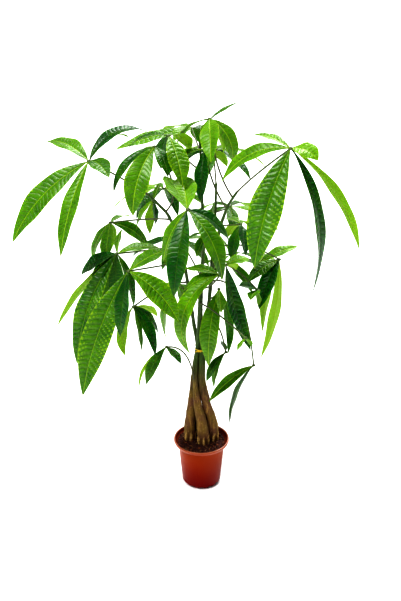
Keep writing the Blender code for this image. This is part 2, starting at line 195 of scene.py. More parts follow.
class GeometryTree(Net):
    """A Geometry Nodes group with named inputs."""

    def __init__(self, name, inputs):
        super().__init__(bpy.data.node_groups.new(name, "GeometryNodeTree"))
        face = self.tree.interface
        face.new_socket("Geometry", in_out="OUTPUT", socket_type="NodeSocketGeometry")
        face.new_socket("Geometry", in_out="INPUT", socket_type="NodeSocketGeometry")
        for label, kind in inputs.items():
            face.new_socket(label, in_out="INPUT", socket_type="NodeSocket" + kind)
        self.start = self.node("NodeGroupInput")

    def given(self, label):
        return self.start.other(label)

    def named(self, label):
        """A number stored on the geometry under a name."""
        return self.node("GeometryNodeInputNamedAttribute", {"data_type": "FLOAT"}, {"Name": label})

    def store(self, geometry, label, value, domain="POINT"):
        return self.node(
            "GeometryNodeStoreNamedAttribute", {"data_type": "FLOAT", "domain": domain},
            {"Geometry": geometry, "Name": label, "Value": value},
        )

    def join(self, *pieces):
        return self.node("GeometryNodeJoinGeometry", None, {"Geometry": list(reversed(pieces))})

    def guide_line(self):
        """The edges of the guide mesh as a curve."""
        return self.node("GeometryNodeMeshToCurve", None, {"Mesh": self.given("Geometry")})

    def even_steps(self, line, step):
        values = {"Curve": line, "Length": step}
        return self.node("GeometryNodeResampleCurve", {"mode": "LENGTH"}, values)

    def ring(self, sides, radius=1.0):
        values = {"Resolution": sides, "Radius": radius}
        return self.node("GeometryNodeCurvePrimitiveCircle", None, values)

    def sweep(self, line, profile, size):
        """A profile carried along a line, at a size that may change on the way."""
        return self.node(
            "GeometryNodeCurveToMesh", None,
            {"Curve": line, "Profile Curve": profile, "Scale": size, "Fill Caps": True},
        )

    def random(self, low, high, seed):
        """A number or a vector for each point, between two limits."""
        if isinstance(low, tuple):
            values = {0: low, 1: high, "Seed": seed}
            return self.node("FunctionNodeRandomValue", {"data_type": "FLOAT_VECTOR"}, values)
        values = {2: low, 3: high, "Seed": seed}
        return self.node("FunctionNodeRandomValue", {"data_type": "FLOAT"}, values, out=1)

    def move(self, geometry, offset):
        return self.node("GeometryNodeSetPosition", None, {"Geometry": geometry, "Offset": offset})

    def weld(self, geometry):
        values = {"Geometry": geometry, "Distance": WELD}
        return self.node("GeometryNodeMergeByDistance", None, values)

    def copies(self, points, piece, **values):
        """An instance of a piece on every point."""
        values |= {"Points": points, "Instance": piece}
        return self.node("GeometryNodeInstanceOnPoints", None, values)

    def real(self, geometry):
        return self.node("GeometryNodeRealizeInstances", None, {"Geometry": geometry})

    def paint(self, geometry, material):
        return self.node("GeometryNodeSetMaterial", None, {"Geometry": geometry, "Material": material})

    def finish(self, geometry):
        """Real, smooth geometry goes to the output."""
        values = {"Geometry": self.real(geometry)}
        smooth = self.node("GeometryNodeSetShadeSmooth", {"domain": "FACE"}, values)
        sharp = self.node("GeometryNodeInputMeshEdgeAngle").above(SHARP_ANGLE)
        values = {"Geometry": smooth, "Selection": sharp, "Shade Smooth": False}
        edged = self.node("GeometryNodeSetShadeSmooth", {"domain": "EDGE"}, values)
        self.node("NodeGroupOutput", None, {"Geometry": edged})


def add_object(name, data):
    made = bpy.data.objects.new(name, data)
    bpy.context.scene.collection.objects.link(made)
    return made


def grown(name, guide, tree, values):
    """Runs a geometry tree on a guide mesh and keeps only the plain result."""
    piece = add_object(name, guide)
    modifier = piece.modifiers.new("grow", "NODES")
    modifier.node_group = tree.tree
    for item in tree.tree.interface.items_tree:
        if item.in_out == "INPUT" and item.name in values:
            modifier[item.identifier] = values[item.name]
    graph = bpy.context.evaluated_depsgraph_get()
    mesh = bpy.data.meshes.new_from_object(piece.evaluated_get(graph), depsgraph=graph)
    mesh.name = name
    piece.modifiers.clear()
    piece.data = mesh
    return piece


print("geometry helpers ready")

# %% [markdown]
# ## Sizes of the pot and the tie
# All driving sizes are millimetres and match the solid model. MM turns them into metres.

# %% Pot, soil and tie sizes
POT_HEIGHT = 109.0
LIP_RADIUS = 60.8
LIP_HEIGHT = 8.0
LIP_BOTTOM = POT_HEIGHT - LIP_HEIGHT
NECK_RADIUS = 50.5
HEEL_RADIUS = 42.5
FOOT_RADIUS = 37.5
HEEL_HEIGHT = 7.0
WALL = 1.3
NOTCHES = 12
NOTCH_WIDTH = 9.0
NOTCH_HEIGHT = 4.8
NOTCH_INNER_RADIUS = 33.0
SOIL_TOP = 102.5
SOIL_EDGE = 51.5
WIRE_RADIUS = 0.8
TIE_RADIUS = 13.3
TIE_SAG = 3.0
TIE_TAIL = 7.0
TIE_OVERLAP = 0.14  # how much of a second turn the wire makes before its ends cross

# %% [markdown]
# ## Finishes
# Every finish is a Principled shader whose colour, roughness and bump come from the surface
# itself: from numbers that the geometry trees store on it, such as how far along a leaflet a point
# is, and from noise on Object coordinates.

# %% A material with its shader
class Finish(Net):
    """A material, its net, and its Principled shader."""

    def __init__(self, name, constants=None):
        self.material = bpy.data.materials.new(name)
        self.material.use_nodes = True
        super().__init__(self.material.node_tree)
        self.shader = self.tree.nodes["Principled BSDF"]
        for label, value in (constants or {}).items():
            self.shader.inputs[label].default_value = value
        self.place = self.node("ShaderNodeTexCoord", None, None, out="Object")

    def stored(self, label):
        return self.node("ShaderNodeAttribute", {"attribute_name": label}, None, out="Fac")

    def show(self, colour, roughness, height=None, depth=None, coat=None):
        """Links what varies to the shader. Depth is the height of the bumps, in metres."""
        links = {"Base Color": colour, "Roughness": roughness}
        if height is not None:
            links["Normal"] = self.node("ShaderNodeBump", None, {"Height": height, "Distance": depth})
        if coat is not None:
            links["Coat Weight"] = coat
        for label, value in links.items():
            self.tree.links.new(value.socket, self.shader.inputs[label])
        return self.material


# %% [markdown]
# ### Leaf blade
# A money-tree leaflet is glossy and deep green above, duller and yellower below. A pale midrib
# runs to the tip, side veins leave it at a slant, and the blade bulges between them. The blade
# tree stores five numbers for this: along (0 at the hub, 1 at the tip), across (-1 to 1 between
# the edges), rib (millimetres from the midrib), veins (one whole number for each side vein) and
# under (below 0 on the underside). Painting from stored numbers keeps the veins on the bulges.

# %% Leaf finish
def make_leaf_finish():
    leaf = Finish("leaf_blade", {
        "Specular IOR Level": 0.38, "Subsurface Weight": 0.10, "Subsurface Scale": 0.003,
        "Subsurface Radius": (0.3, 1.0, 0.02),
    })
    along = leaf.stored("along")
    across = abs(leaf.stored("across"))
    rib = leaf.stored("rib")
    tone = leaf.stored("tone")
    below = 1 - leaf.stored("under").ramp(-0.1, 0.1)
    near_vein = abs(leaf.stored("veins").fraction() - 0.5) * 2
    vein = near_vein.ramp(0.86, 1.0) * (1 - across.ramp(0.80, 1.0)) * rib.ramp(0.5, 3.0)
    midrib = 1 - rib.ramp(0.30, 0.95)
    clouds = leaf.noise(leaf.place, 30.0, 4.0, 0.6)
    mottle = leaf.noise(leaf.place, 260.0, 3.0, 0.6)
    # Partly painted shade and sheen: on the near leaves the tone was set darker for leaflets in shadow
    # and paler for glossy ones.
    level = (tone * 1.1 - 0.05 + (clouds - 0.5) * 1.1).at_most(1.0).at_least(0.0)
    top = leaf.mix(level, LEAF_DARK, LEAF_BRIGHT)
    top = leaf.mix(mottle.ramp(0.45, 0.75) * 0.35, top, LEAF_DEEP_AND_SHADE)
    # Painted shade: the side veins are painted darker on top, in the creases between the bulges.
    top = leaf.mix(vein * 0.45, top, LEAF_DEEP_AND_SHADE)
    back = leaf.mix(tone.ramp(0.0, 0.5) + (clouds - 0.5) * 0.4, LEAF_UNDER_DARK, LEAF_UNDER)
    back = leaf.mix(vein * 0.4, back, LEAF_MIDRIB)
    colour = leaf.mix(below, top, back)
    pale = tone.ramp(0.15, 0.55) * 0.8 + 0.1
    colour = leaf.mix(midrib * pale, colour, LEAF_MIDRIB)
    colour = leaf.mix(across.ramp(0.94, 1.0) * 0.35, colour, LEAF_MIDRIB)
    colour = leaf.mix(along.ramp(0.975, 1.0) * 0.8, colour, LEAF_DRY)
    roughness = 0.30 + below * 0.25 + mottle * 0.14
    height = (1 - near_vein.ramp(0.60, 1.0)) * 0.5 + mottle * 0.3 - midrib * 0.4
    return leaf.show(colour, roughness, height, 0.0006)


LEAF_DARK = (0.004, 0.062, 0.0003)
# The deep colour is both random mottle and painted shade in the vein creases.
LEAF_DEEP_AND_SHADE = (0.001, 0.018, 0.0002)
LEAF_BRIGHT = (0.155, 0.320, 0.0010)
LEAF_MIDRIB = (0.300, 0.440, 0.020)
LEAF_UNDER = (0.210, 0.360, 0.002)
LEAF_UNDER_DARK = (0.020, 0.110, 0.001)
LEAF_DRY = (0.190, 0.130, 0.030)
leaf_blade = make_leaf_finish()


# %% [markdown]
# ### Stalks
# A stalk is green near the hub and turns brown-green where it swells against the shoot.

# %% Stalk finish
def make_stalk_finish():
    stalk = Finish("leaf_stalk")
    along = stalk.stored("along")
    streaks = stalk.noise(stalk.place * (1.0, 1.0, 0.2), 420.0, 3.0, 0.6)
    colour = stalk.mix(along.ramp(0.0, 0.9), STALK_BROWN, STALK_GREEN)
    colour = stalk.mix(streaks.ramp(0.4, 0.8) * 0.4, colour, STALK_PALE)
    return stalk.show(colour, 0.42 + streaks * 0.2, streaks, 0.0003)


STALK_BROWN = (0.050, 0.050, 0.022)
STALK_GREEN = (0.055, 0.090, 0.018)
STALK_PALE = (0.260, 0.300, 0.110)
leaf_stalk = make_stalk_finish()


# %% [markdown]
# ### Bark
# The old bark is patches of purplish brown and olive with dark fissures, the root knuckles at the
# soil are pale, and the young shoots above the tie are smooth and green. Pale streaks run along
# it. Height on the plant is the Z of the Object coordinates, and stretching the noise along Z
# makes streaks in place of blots.

# %% Bark finish
def make_bark_finish():
    bark = Finish("bark")
    height = bark.place.axis("Z")
    long_grain = bark.noise(bark.place * (1.0, 1.0, 0.12), 190.0, 5.0, 0.65)
    fine_grain = bark.noise(bark.place * (1.0, 1.0, 0.3), 620.0, 4.0, 0.6)
    patches = bark.noise(bark.place, 34.0, 3.0, 0.5)
    old = bark.mix(patches.ramp(0.35, 0.65), BARK_PURPLE, BARK_OLIVE)
    old = bark.mix(long_grain.ramp(0.50, 0.68) * 0.7, old, BARK_TAN)
    old = bark.mix(fine_grain.ramp(0.56, 0.72) * 0.45, old, BARK_PALE)
    old = bark.mix((1 - long_grain.ramp(0.30, 0.45)) * 0.75, old, BARK_DARK)
    young = bark.mix(patches, SHOOT_DARK, SHOOT_GREEN)
    young = bark.mix(long_grain.ramp(0.52, 0.75) * 0.45, young, STALK_PALE)
    colour = bark.mix(height.ramp(GREEN_START * MM, GREEN_END * MM), old, young)
    colour = bark.mix(bark.stored("root"), colour, bark.mix(fine_grain, ROOT_DARK, ROOT_PALE))
    roughness = 0.82 - height.ramp(SMOOTH_START * MM, SMOOTH_END * MM) * 0.32
    relief = long_grain * 0.7 + fine_grain * 0.3
    return bark.show(colour, roughness, relief, 0.0016)


GREEN_START = 200.0  # the bark turns green between these heights
GREEN_END = 330.0
SMOOTH_START = 260.0  # and smoother between these
SMOOTH_END = 450.0
BARK_PURPLE = (0.140, 0.062, 0.030)
BARK_OLIVE = (0.170, 0.104, 0.018)
BARK_TAN = (0.360, 0.220, 0.055)
BARK_PALE = (0.560, 0.410, 0.170)
BARK_DARK = (0.026, 0.011, 0.005)
SHOOT_DARK = (0.018, 0.045, 0.008)
SHOOT_GREEN = (0.060, 0.120, 0.015)
ROOT_DARK = (0.750, 0.420, 0.100)
ROOT_PALE = (1.000, 0.800, 0.360)
bark = make_bark_finish()


# %% [markdown]
# ### Pot plastic
# Nursery pots are thin, slightly shiny plastic. The colour is painted a deep red low down, as painted
# shade, and more orange towards the lip, with faint scuffs and a soft orange-peel from the mould. The
# inside of the lip is painted darker brown as painted shade, its top edge is painted paler as a painted
# highlight, and its outside shines a little more.

# %% Pot finish
def make_pot_finish():
    pot = Finish("terracotta_plastic", {"Specular IOR Level": 0.12, "Coat Roughness": 0.15})
    height = pot.place.axis("Z")
    flat = {0: pot.place * (1.0, 1.0, 0.0)}
    reach = pot.node("ShaderNodeVectorMath", {"operation": "LENGTH"}, flat, out="Value")
    clouds = pot.noise(pot.place, 22.0, 4.0, 0.55)
    scuffs = pot.noise(pot.place * (1.0, 1.0, 0.15), 240.0, 3.0, 0.7)
    peel = pot.noise(pot.place, 900.0, 2.0, 0.5)
    # Painted shade: the colour is darker red towards the bottom and more orange towards the lip.
    level = (height * 9.5 + clouds * 0.25 - 0.12).ramp(0.0, 1.0)
    colour = pot.mix(level, POT_SHADED_LOW, POT_HIGH)
    colour = pot.mix(scuffs.ramp(0.62, 0.80) * 0.35, colour, POT_SCUFF)
    # Painted shade: the inside of the lip, a recess, is painted darker brown.
    inner = 1 - reach.ramp((LIP_RADIUS - 3.3) * MM, (LIP_RADIUS - 2.3) * MM)
    inside = inner * height.ramp((LIP_BOTTOM - 1) * MM, (LIP_BOTTOM + 1) * MM)
    colour = pot.mix(inside * (clouds.ramp(0.3, 0.7) * 0.3 + 0.6), colour, POT_INNER_SHADE)
    # Painted highlight: the top edge of the lip is painted paler.
    rim = height.ramp((POT_HEIGHT - 2) * MM, (POT_HEIGHT - 0.4) * MM)
    colour = pot.mix(rim * 0.6, colour, POT_RIM_HIGHLIGHT)
    roughness = 0.34 + scuffs.ramp(0.4, 0.8) * 0.22
    gloss = height.ramp((LIP_BOTTOM - 4) * MM, LIP_BOTTOM * MM) * (1 - inside) * 0.7
    return pot.show(colour, roughness, peel * 0.4 + scuffs * 0.6, 0.00025, gloss)


# The low colour is painted shade, the colour inside the lip is painted shade, and the rim colour is a
# painted highlight.
POT_SHADED_LOW = (0.170, 0.0005, 0.0001)
POT_HIGH = (0.290, 0.040, 0.0001)
POT_SCUFF = (0.450, 0.090, 0.030)
POT_INNER_SHADE = (0.110, 0.022, 0.012)
POT_RIM_HIGHLIGHT = (0.420, 0.170, 0.100)
pot_plastic = make_pot_finish()


# %% [markdown]
# ### Potting mix and wire
# The mix is dark crumbs of bark and coir with purple-brown and fibrous light bits. The tie is
# thin gilt wire with a few darker spots.

# %% Mix and wire finishes
def make_mix_finish():
    mix = Finish("potting_mix", {"Specular IOR Level": 0.3})
    kind = mix.stored("kind")
    speck = mix.noise(mix.place, 700.0, 4.0, 0.7)
    broad = mix.noise(mix.place, 120.0, 3.0, 0.6)
    colour = mix.mix(broad, MIX_BLACK, MIX_PURPLE)
    colour = mix.mix(kind.ramp(0.55, 0.62) * speck.ramp(0.3, 0.7), colour, MIX_RUST)
    colour = mix.mix(kind.ramp(0.86, 0.90) * 0.8, colour, MIX_STRAW)
    return mix.show(colour, 0.80 + speck * 0.15, speck, 0.0008)


def make_wire_finish():
    wire = Finish("gilt_wire", {"Metallic": 0.9})
    wear = wire.noise(wire.place, 900.0, 3.0, 0.6)
    colour = wire.mix(wear.ramp(0.45, 0.75), WIRE_GOLD, WIRE_DULL)
    return wire.show(colour, 0.25 + wear * 0.3, wear, 0.0002)


MIX_BLACK = (0.022, 0.009, 0.008)
MIX_PURPLE = (0.110, 0.042, 0.034)
MIX_RUST = (0.380, 0.130, 0.044)
MIX_STRAW = (0.620, 0.400, 0.170)
WIRE_GOLD = (0.900, 0.620, 0.080)
WIRE_DULL = (0.480, 0.300, 0.040)
potting_mix = make_mix_finish()
gilt_wire = make_wire_finish()
finishes = (leaf_blade, leaf_stalk, bark, pot_plastic, potting_mix, gilt_wire)
print("finishes:", [finish.name for finish in finishes])

# %% [markdown]
# ## Sizes of the trunks and the leaves
# BUNDLE says how the five trunks draw together up to the tie, SHOOTS gives the centre line of each
# shoot above it, and LEAVES gives for each compound leaf where its stalk starts, where its hub is
# and how its leaflets spread.

# %% Trunks and shoots
TRUNK_NAMES = ("trunk_front", "trunk_right", "trunk_back_right", "trunk_back_left", "trunk_left")
TIE_HEIGHT = 334.0
FRONT_ANGLE = -90.0
TWIST = -53.0
# height, radius of the circle of trunks, radius of one trunk, sideways lean of the bundle
BUNDLE = (
    (62.0, 25.0, 9.0, 0.0),
    (84.0, 26.0, 12.2, 0.0),
    (104.0, 26.0, 12.7, 0.0),
    (132.0, 23.0, 12.5, -1.0),
    (165.0, 19.0, 10.6, -2.0),
    (205.0, 14.8, 8.62, -4.5),
    (250.0, 10.8, 5.7, -7.0),
    (292.0, 9.3, 4.9, -5.5),
    (334.0, 7.8, 4.1, -2.0),
)
# Where each trunk stands in the soil, x y. From JOIN_START up to JOIN_END it eases into the circle.
STANDS = {
    "trunk_front": (4.0, -9.0),
    "trunk_right": (25.3, 6.8),
    "trunk_back_right": (13.2, 30.6),
    "trunk_back_left": (-13.0, 30.6),
    "trunk_left": (-25.6, 8.0),
}
JOIN_START = 104.0
JOIN_END = 235.0
SHOOT_END_RADIUS = 2.4
SHOOTS = {
    "trunk_front": ((-6, -12, 380), (-4, -20, 440), (0, -30, 520), (6, -42, 580), (16, -50, 628)),
    "trunk_right": (
        (8, -9, 380), (15, -10, 440), (22, -12, 510), (33, -18, 590), (44, -26, 634), (52, -30, 655),
        (66, -36, 680),
    ),
    "trunk_back_right": ((12, 8, 380), (16, 20, 440), (22, 46, 520), (28, 80, 590), (30, 118, 650)),
    "trunk_back_left": ((-1, 15, 380), (0, 21, 450), (3, 29, 560), (0, 40, 680), (-3, 54, 752)),
    "trunk_left": (
        (-15, 5, 380), (-23, 4, 440), (-31, 2, 500), (-41, 0, 556), (-62, -2, 618), (-82, -6, 645),
        (-103, -10, 668),
    ),
}
# Where a trunk was topped when the shoot took over: trunk, height, heading and length of the stub.
STUBS = {"trunk_right": (352, -20, 13), "trunk_back_left": (372, 120, 12)}
STUB_RISE = 1.6  # rise of a stub for each unit outwards
STUB_THICKNESS = 0.8  # as a part of its trunk's

# %% Leaves
STALK_BASE_RADIUS = 2.3
STALK_RADIUS = 1.6
SIDE_REACH = 0.35  # a side stalk heads away from the bark for this part of its span before it bends
SIDE_ARCH = 0.12  # and rises by this part
TIP_BEND = 0.4  # a stalk at the end of a shoot is nearly straight
TIP_ARCH = 0.04
HUB_RADIUS = 3.8
# Side stalks that climb steeply before they bend over: reach and arch, in place of the two above.
STEEP_STALKS = {"leaf_low_left": (0.1, 0.7)}
FOLD = 0.14  # how far each half of a blade rises from the midrib, as a part of the half width

# name: (trunk, height where the stalk leaves it or None for its tip, hub x y z, leaflets)
# leaflet: heading, first pitch, how far it droops, roll (degrees), length, width
LEAVES = {
    "leaf_far_left": ("trunk_left", None, (-210, -20, 735), (
        (-170, -25, 40, -40, 220, 50), (-120, -40, 35, 5, 190, 38), (135, 30, 50, -10, 140, 42),
        (40, 60, 95, 15, 160, 32), (65, 40, 70, 0, 155, 28), (-60, 20, 50, 15, 95, 36),
    )),
    "leaf_top_back": ("trunk_back_left", 735, (-20, 160, 755), (
        (-160, -4, 13, -20, 165, 36), (-120, 20, 60, -10, 75, 28), (35, 0, 60, 15, 100, 34),
        (75, -5, 60, -25, 110, 34), (125, 5, 50, 0, 130, 38),
    )),
    "leaf_top_left": ("trunk_back_left", 700, (-60, -30, 785), (
        (-70, -20, 50, -10, 110, 42), (105, -15, 60, -20, 130, 36), (65, 0, 60, -5, 105, 36),
        (160, 10, 60, 0, 90, 30),
    )),
    "leaf_top_left_front": ("trunk_left", 630, (-85, -50, 770), (
        (-125, -28, 62, -25, 138, 46), (-160, -8, 75, -20, 120, 20), (-60, -10, 60, 0, 70, 26),
        (110, -10, 50, 0, 90, 30),
    )),
    "leaf_top": ("trunk_right", 668, (15, 20, 805), (
        (30, 30, 15, 10, 66, 12), (-90, -5, 60, 25, 110, 40), (-25, -20, 80, 20, 100, 36),
        (100, -30, 50, -20, 80, 28), (160, -10, 60, 10, 90, 30), (65, -20, 60, 25, 110, 34),
    )),
    "leaf_top_front": ("trunk_right", 645, (5, 30, 745), (
        (-95, -35, 50, 40, 105, 34), (180, -5, 30, -20, 85, 22), (25, -15, 50, -25, 65, 30),
    )),
    "leaf_far_right": ("trunk_right", None, (150, -160, 795), (
        (135, 25, 40, -10, 90, 22), (165, 5, 70, -35, 145, 34), (-135, -50, 35, -20, 215, 58),
        (0, -55, 50, 40, 280, 36), (10, -35, 40, -25, 240, 32), (-35, 20, 70, 15, 55, 36),
    )),
    "leaf_right_back": ("trunk_back_right", 520, (120, 80, 490), (
        (20, 30, 30, 10, 95, 30), (70, 5, 50, 15, 130, 30), (120, 15, 50, 15, 105, 30),
    )),
    "leaf_right": ("trunk_right", 560, (160, 50, 510), (
        (-150, -5, 40, -10, 85, 34), (-120, -20, 50, 10, 118, 36), (165, -95, -25, 35, 240, 34),
        (120, -60, 30, -10, 200, 30), (130, -20, 50, 10, 90, 26),
    )),
    "leaf_front_right": ("trunk_front", 520, (45, -90, 555), (
        (-30, -80, -20, 25, 175, 38), (30, 20, 40, 5, 55, 30), (65, -10, 40, -15, 60, 24),
    )),
    "leaf_front_low": ("trunk_front", 480, (35, -80, 530), (
        (-155, -10, 120, -20, 205, 42), (150, 15, 35, -10, 80, 28), (165, -10, 40, -30, 85, 28),
    )),
    "leaf_middle_right": ("trunk_right", 610, (75, -30, 615), (
        (-80, -15, 50, -30, 70, 34), (-125, -45, 50, 15, 75, 30), (70, 0, 50, -10, 95, 34),
        (120, 10, 40, 0, 70, 26), (140, -20, 60, 15, 45, 30),
    )),
    "leaf_middle": ("trunk_back_left", 560, (15, 5, 585), (
        (-140, -35, 40, 5, 55, 28), (5, -25, 50, 0, 65, 26), (80, 50, 30, -55, 75, 24),
        (165, -5, 50, 25, 65, 26),
    )),
    "leaf_front": ("trunk_front", None, (-25, -140, 680), (
        (112, 32, 28, 12, 110, 50), (96, 34, 30, -14, 105, 46), (-165, -45, 40, -20, 105, 32),
        (-106, -38, 50, 15, 160, 42), (-40, -25, 60, 5, 145, 44), (10, -15, 50, 35, 100, 32),
    )),
    "leaf_left_upper": ("trunk_left", 615, (-180, 20, 600), (
        (70, 5, 30, -5, 90, 24), (25, -15, 50, 50, 105, 30), (180, -45, 40, -30, 95, 26),
        (-95, -25, 40, 30, 90, 32), (100, -40, 40, 0, 90, 28),
    )),
    "leaf_left_inner": ("trunk_left", 640, (-95, 38, 640), (
        (180, -40, 40, -25, 70, 22), (-75, -45, 40, -45, 50, 24), (105, -45, 50, -30, 90, 26),
        (75, 40, 30, -35, 55, 20),
    )),
    "leaf_left": ("trunk_left", 560, (-160, -70, 570), (
        (90, 25, 30, -50, 90, 24), (165, -15, 40, -30, 95, 32), (-155, -50, 35, -30, 240, 48),
        (-35, -50, 40, -5, 110, 28), (30, 15, 40, 10, 95, 30), (165, -42, 20, 20, 215, 26),
        (110, -68, 12, 10, 185, 40), (150, -60, 25, 25, 150, 38), (-175, -38, 45, -25, 100, 34),
    )),
    "leaf_left_front": ("trunk_left", 525, (-135, -120, 555), (
        (35, 30, 30, 15, 90, 34), (-20, -20, 45, 25, 135, 50), (-155, -55, 25, -50, 265, 56),
        (-105, -45, 45, 30, 125, 36),
    )),
    "leaf_left_lower": ("trunk_left", 480, (-135, -40, 445), (
        (-35, -35, 50, 15, 110, 27), (15, -30, 50, 35, 85, 23), (50, -15, 40, -35, 85, 23),
        (-70, -30, 50, -45, 95, 22), (-180, -55, 50, 40, 115, 30),
    )),
    "leaf_low_inner": ("trunk_left", 455, (-50, 30, 465), (
        (180, -55, 50, -30, 135, 28), (-40, -10, 40, -5, 35, 26), (70, -45, 50, 25, 90, 28),
        (130, -10, 50, 15, 50, 28),
    )),
    "leaf_low_left": ("trunk_front", 262, (-70, -60, 365), (
        (-155, -40, 40, -25, 90, 26), (-55, 5, 40, -5, 55, 22), (160, -35, 50, 20, 130, 13),
    )),
    "leaf_low_middle": ("trunk_right", 450, (35, -10, 470), (
        (-120, -55, 40, 0, 165, 44), (30, -65, 35, -10, 155, 26), (-85, -25, 50, -45, 50, 30),
    )),
    "leaf_low_right": ("trunk_right", 405, (50, -35, 340), (
        (-155, -35, 40, -10, 75, 22), (180, -55, 40, -25, 90, 22), (100, 15, 30, 35, 50, 16),
    )),
    "leaf_bud": ("trunk_front", 445, (80, -185, 450), (
        (-125, -15, 30, 30, 30, 16), (65, -35, 30, 15, 40, 16),
    )),
    "leaf_hanging": ("trunk_back_right", 470, (110, 0, 290), (
        (-170, -25, 30, -30, 125, 26), (180, -55, 35, -10, 160, 24),
    )),
    "leaf_right_inner": ("trunk_right", 530, (110, -50, 485), (
        (-140, 45, 40, -15, 55, 24), (-110, 25, 50, 15, 50, 26), (85, -40, 50, 60, 50, 22),
    )),
}
BACK_LEAVES = {
    "leaf_back_high": ("trunk_back_right", None, (25, 200, 700), 6, 80, 165),
    "leaf_back_middle": ("trunk_back_right", 600, (60, 150, 590), 5, 60, 140),
    "leaf_back_left": ("trunk_back_left", 600, (-80, 165, 625), 6, 115, 145),
    "leaf_back_low": ("trunk_back_left", 480, (-45, 165, 510), 5, 100, 150),
    "leaf_back_right": ("trunk_back_right", 540, (50, 125, 475), 5, 20, 120),
}
BACK_PITCH = 5
BACK_DROOP = 60
BACK_WIDTH_RATIO = 0.27
BACK_SHORTEST = 0.62

# %% [markdown]
# ## Routes
# A trunk's route starts where it stands in the soil and eases into the bundle: equal angles
# round a circle that shrinks towards the tie while the bundle twists. Above the tie the route
# follows the shoot.

# %% Routes of the trunks
def eased(part):
    """0 below 0, 1 above 1, and a smooth step between them."""
    part = min(1.0, max(0.0, part))
    return part * part * (3 - 2 * part)


def trunk_route(index):
    """Centre points and radii of one trunk, from inside the soil to the end of its shoot."""
    points = []
    radii = []
    for height, circle, radius, lean in BUNDLE:
        rise = max(0.0, (height - SOIL_TOP) / (TIE_HEIGHT - SOIL_TOP))
        angle = math.radians(FRONT_ANGLE + 360 / len(TRUNK_NAMES) * index + TWIST * rise)
        on_circle = Vector((lean + circle * math.cos(angle), circle * math.sin(angle), height))
        stand = Vector((*STANDS[TRUNK_NAMES[index]], height))
        points.append(stand.lerp(on_circle, eased((height - JOIN_START) / (JOIN_END - JOIN_START))))
        radii.append(radius)
    shoot = [Vector(p) for p in SHOOTS[TRUNK_NAMES[index]]]
    at_tie = radii[-1]
    for i, point in enumerate(shoot):
        part = (i + 1) / len(shoot)
        points.append(point)
        radii.append(at_tie * (1 - part) + SHOOT_END_RADIUS * part)
    return points, radii


ROUTES = {name: trunk_route(i) for i, name in enumerate(TRUNK_NAMES)}


def on_trunk(trunk, height):
    """Centre, direction and radius of a trunk at a height, or at its tip for None."""
    points, radii = ROUTES[trunk]
    for low, high, r_low, r_high in zip(points, points[1:], radii, radii[1:]):
        if height is not None and height <= high.z:
            part = (height - low.z) / (high.z - low.z)
            return low.lerp(high, part), (high - low).normalized(), r_low + (r_high - r_low) * part
    return points[-1], (points[-1] - points[-2]).normalized(), radii[-1]


def guide_mesh(name, points, edges=(), **numbers):
    """Points in millimetres, with named numbers that a geometry tree can read."""
    mesh = bpy.data.meshes.new(name)
    mesh.from_pydata([tuple(Vector(p) * MM) for p in points], edges, [])
    for label, values in numbers.items():
        mesh.attributes.new(label, "FLOAT", "POINT").data.foreach_set("value", values)
    return mesh


def chain(points):
    """Edges that join each point to the next."""
    return [(i, i + 1) for i in range(len(points) - 1)]


for name, (points, radii) in ROUTES.items():
    print(name, "tip", tuple(round(v) for v in points[-1]))

# %% [markdown]
# ## Trunks
# The trunks of a braided money tree are fat at the soil, where old roots were trimmed away and
# left pale knuckles, and thin at the tie. Each trunk is a curve through its route with a radius on
# every point, swept into a tube. Two numbers stay on the tube for the relief that comes next:
# round (0 to 1 about the trunk) and up (height in metres). The knuckles are a cosine wave of
# round, kept to a band at the soil, the fissures are noise stretched along the trunk, and faint
# rings are the scars of old leaves.

# %% Trunk tree
TRUNK_RING = 56
TRUNK_STEP = 2.0
KNUCKLES = 6
KNUCKLE_SIZE = 2.6
KNUCKLE_WAIST = 1.4  # how much the trunk draws in between its knuckles
# Heights from the soil: knuckles swell between the first two and fade between the last two.
KNUCKLE_BAND = (-12.0, 0.0, 9.0, 26.0)
FISSURE_YOUNG = 0.9
FISSURE_OLD = 2.2  # how much deeper fissures are in old bark
LUMP_SIZE = 2.4
SCAR_SIZE = 0.35
OLD_BARK_FADES = (200.0, 400.0)


def make_trunk_tree():
    tree = GeometryTree("trunk", {"Turn": "Float"})
    position = tree.node("GeometryNodeInputPosition")
    spline = {"spline_type": "CATMULL_ROM"}
    line = tree.node("GeometryNodeCurveSplineType", spline, {"Curve": tree.guide_line()})
    line = tree.even_steps(line, TRUNK_STEP * MM)
    line = tree.store(line, "up", position.axis("Z"))
    around = tree.node("GeometryNodeSplineParameter", out="Factor")
    ring = tree.store(tree.ring(TRUNK_RING), "round", around)
    tube = tree.sweep(line, ring, tree.named("thick"))

    up = tree.named("up")
    turn = tree.named("round") * math.tau + tree.given("Turn")
    wobble = tree.noise(position, 60.0) * 5
    low, full, fade, high = ((SOIL_TOP + height) * MM for height in KNUCKLE_BAND)
    band = up.ramp(low, full) * (1 - up.ramp(fade, high))
    knuckle = (turn * KNUCKLES + wobble).cos().at_least(0.0) ** 0.7 * band
    fissure = tree.noise(position * (1.0, 1.0, 0.16), 170.0, 4.0, 0.6) - 0.5
    lump = tree.noise(position, 45.0, 2.0) - 0.5
    scar = ((up * 210 + tree.noise(position, 20.0) * 6).sin().at_least(0.8) - 0.8) * 5
    old = 1 - up.ramp(*(height * MM for height in OLD_BARK_FADES))
    push = knuckle * (KNUCKLE_SIZE * MM) - band * (KNUCKLE_WAIST * MM)
    push = push + fissure * (FISSURE_YOUNG * MM + old * (FISSURE_OLD * MM))
    push = push + lump * (LUMP_SIZE * MM) * old + scar * (SCAR_SIZE * MM)
    tube = tree.move(tube, tree.node("GeometryNodeInputNormal") * push)
    pale = (knuckle * 1.3).at_most(1.0) * tree.noise(position, 220.0).ramp(0.25, 0.6)
    tube = tree.store(tube, "root", pale)
    tree.finish(tree.paint(tube, bark))
    return tree


